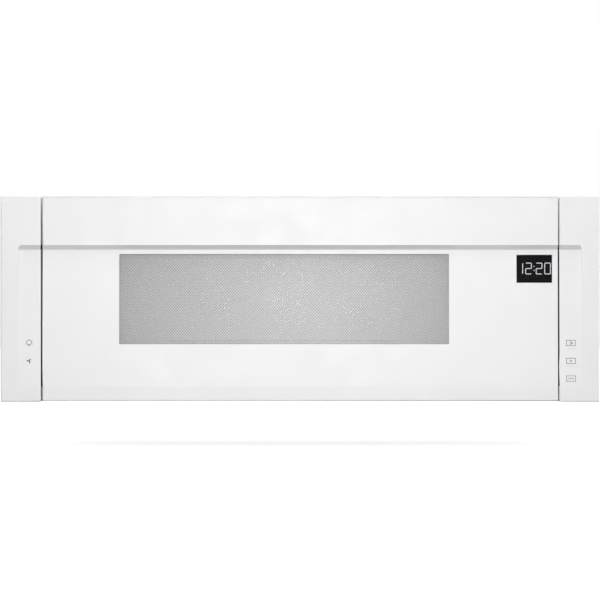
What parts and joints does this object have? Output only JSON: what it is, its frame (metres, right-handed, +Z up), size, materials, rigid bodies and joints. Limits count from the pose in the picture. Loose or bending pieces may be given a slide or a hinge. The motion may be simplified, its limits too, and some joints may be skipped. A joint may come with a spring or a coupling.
{
  "type": "over the range microwave",
  "caption": "Low-profile over the range microwave oven and hood: side-hinged door with a window, end panels with touch keys, turntable, grease filters and a top exhaust.",
  "frame": {"origin": "centre of the underside", "axes": "+X to the right along the front, -Y out of the front, +Z up"},
  "size_m": [0.759, 0.464, 0.2603],
  "materials": {
    "white_moulding": "satin white moulded plastic",
    "white_steel": "white powder coat",
    "oven_enamel": "light grey enamel",
    "galvanised_steel": "zinc-coated sheet",
    "screen_steel": "perforated, light grey enamel",
    "clear_glass": "clear, polished",
    "plate_glass": "clear, moulded",
    "black_lens": "gloss black",
    "black_plastic": "matt",
    "grey_plastic": "matt",
    "circuit_board": "green laminate",
    "spring_steel": "bright wire",
    "mica": "mica sheet",
    "magnetron_metal": "pressed aluminium",
    "lamination_steel": "varnished laminations",
    "copper_wire": "enamelled copper",
    "filter_aluminium": "aluminium mesh",
    "charcoal": "carbon-filled pad"
  },
  "bodies": {
    "cabinet": {"left_end_panel": "white_moulding", "right_end_panel": "white_moulding", "touch_boards": "circuit_board", "hinge_brackets": "galvanised_steel", "front_plate": "oven_enamel", "outer_wrap": "white_steel", "base_plate": "white_steel", "rear_plate": "galvanised_steel", "wall_plate": "galvanised_steel", "cord_bush": "black_plastic", "cabinet_bolt_nuts": "galvanised_steel", "cavity_wrapper": "oven_enamel", "cavity_floor": "oven_enamel", "cavity_rear_wall": "oven_enamel", "waveguide_cover": "mica", "cavity_lamp": "clear_glass", "turntable_motor": "galvanised_steel", "waveguide": "galvanised_steel", "magnetron": "magnetron_metal", "transformer_core": "lamination_steel", "transformer_windings": "copper_wire", "capacitor": "magnetron_metal", "power_board": "circuit_board", "fan_shroud": "black_plastic", "fan_motor": "lamination_steel", "latch_board": "grey_plastic", "release_solenoid": "copper_wire", "interlock_switches": "black_plastic", "blower_motor": "lamination_steel", "blower_housing": "galvanised_steel", "exhaust_adapter": "galvanised_steel", "cooktop_lamps": "galvanised_steel", "lamp_lenses": "clear_glass", "charcoal_filter": "charcoal"},
    "door": {"door_outer_panel": "white_moulding", "window_glass": "clear_glass", "display_lens": "black_lens", "display_module": "circuit_board", "choke_frame": "galvanised_steel", "door_screen": "screen_steel", "choke_cover": "grey_plastic", "inner_window": "clear_glass", "hinge_plates": "galvanised_steel", "latch_spring": "spring_steel"},
    "latch_pawl": {"latch_pawl": "grey_plastic"},
    "release_lever": {"release_lever": "grey_plastic"},
    "solenoid_plunger": {"solenoid_plunger": "spring_steel"},
    "turntable_coupler": {"turntable_coupler": "grey_plastic"},
    "glass_turntable": {"glass_turntable": "plate_glass"},
    "roller_ring": {"roller_ring": "grey_plastic"},
    "roller_1": {"roller_1": "grey_plastic"},
    "roller_2": {"roller_2": "grey_plastic"},
    "roller_3": {"roller_3": "grey_plastic"},
    "blower_rotor": {"blower_wheels": "galvanised_steel", "blower_shaft": "spring_steel"},
    "cooling_fan": {"cooling_fan": "black_plastic"},
    "damper_flap": {"damper_flap": "galvanised_steel"},
    "left_grease_filter": {"left_grease_filter": "filter_aluminium"},
    "right_grease_filter": {"right_grease_filter": "filter_aluminium"}
  },
  "joints": [
    {"name": "door_hinge", "type": "hinge", "parent": "cabinet", "child": "door", "pos_m": [-0.3125, -0.221, 0.13], "axis": [0, 0, -1], "range_deg": [0, 100]},
    {"name": "latch_slide", "type": "slide", "parent": "door", "child": "latch_pawl", "axis": [0, 0, 1], "range_m": [-0.004, 0], "stiffness_N_per_m": 120, "springref_m": -0.012, "deforming": ["latch_spring"]},
    {"name": "release_lever_pivot", "type": "hinge", "parent": "cabinet", "child": "release_lever", "pos_m": [0.33, -0.1705, 0.20235], "axis": [0, 1, 0], "range_deg": [0, 9.3]},
    {"name": "plunger_slide", "type": "slide", "parent": "cabinet", "child": "solenoid_plunger", "axis": [0, 0, -1], "range_m": [0, 0.0031], "stiffness_N_per_m": 60, "springref_m": -0.012},
    {"name": "turntable_spin", "type": "hinge", "parent": "cabinet", "child": "turntable_coupler", "pos_m": [-0.02, -0.026, 0.05], "axis": [0, 0, 1], "continuous": true},
    {"name": "plate_lift", "type": "slide", "parent": "turntable_coupler", "child": "glass_turntable", "axis": [0, 0, 1], "range_m": [0, 0.03]},
    {"name": "roller_ring_spin", "type": "hinge", "parent": "cabinet", "child": "roller_ring", "pos_m": [-0.02, -0.026, 0.0578], "axis": [0, 0, 1], "continuous": true},
    {"name": "roller_1_spin", "type": "hinge", "parent": "roller_ring", "child": "roller_1", "pos_m": [-0.02, 0.0745, 0.0578], "axis": [0, 1, 0], "continuous": true},
    {"name": "roller_2_spin", "type": "hinge", "parent": "roller_ring", "child": "roller_2", "pos_m": [-0.10704, -0.07625, 0.0578], "axis": [-0.866, -0.5, 0], "continuous": true},
    {"name": "roller_3_spin", "type": "hinge", "parent": "roller_ring", "child": "roller_3", "pos_m": [0.06704, -0.07625, 0.0578], "axis": [0.866, -0.5, 0], "continuous": true},
    {"name": "blower_spin", "type": "hinge", "parent": "cabinet", "child": "blower_rotor", "pos_m": [0, 0.1833, 0.18835], "axis": [1, 0, 0], "continuous": true},
    {"name": "cooling_fan_spin", "type": "hinge", "parent": "cabinet", "child": "cooling_fan", "pos_m": [0.31475, 0.103, 0.173], "axis": [0, 1, 0], "continuous": true},
    {"name": "damper_hinge", "type": "hinge", "parent": "cabinet", "child": "damper_flap", "pos_m": [0, 0.2191, 0.24655], "axis": [-1, 0, 0], "range_deg": [0, 75]},
    {"name": "left_filter_drop", "type": "slide", "parent": "cabinet", "child": "left_grease_filter", "axis": [0, 0, -1], "range_m": [0, 0.04]},
    {"name": "right_filter_drop", "type": "slide", "parent": "cabinet", "child": "right_grease_filter", "axis": [0, 0, -1], "range_m": [0, 0.04]}
  ],
  "couplings": [
    {"joint": "roller_ring_spin", "follows": "turntable_spin", "ratio": 0.5},
    {"joint": "roller_1_spin", "follows": "turntable_spin", "ratio": -6.7},
    {"joint": "roller_2_spin", "follows": "turntable_spin", "ratio": -6.7},
    {"joint": "roller_3_spin", "follows": "turntable_spin", "ratio": -6.7},
    {"joint": "release_lever_pivot", "follows": "plunger_slide", "rad_per_m": 50}
  ]
}
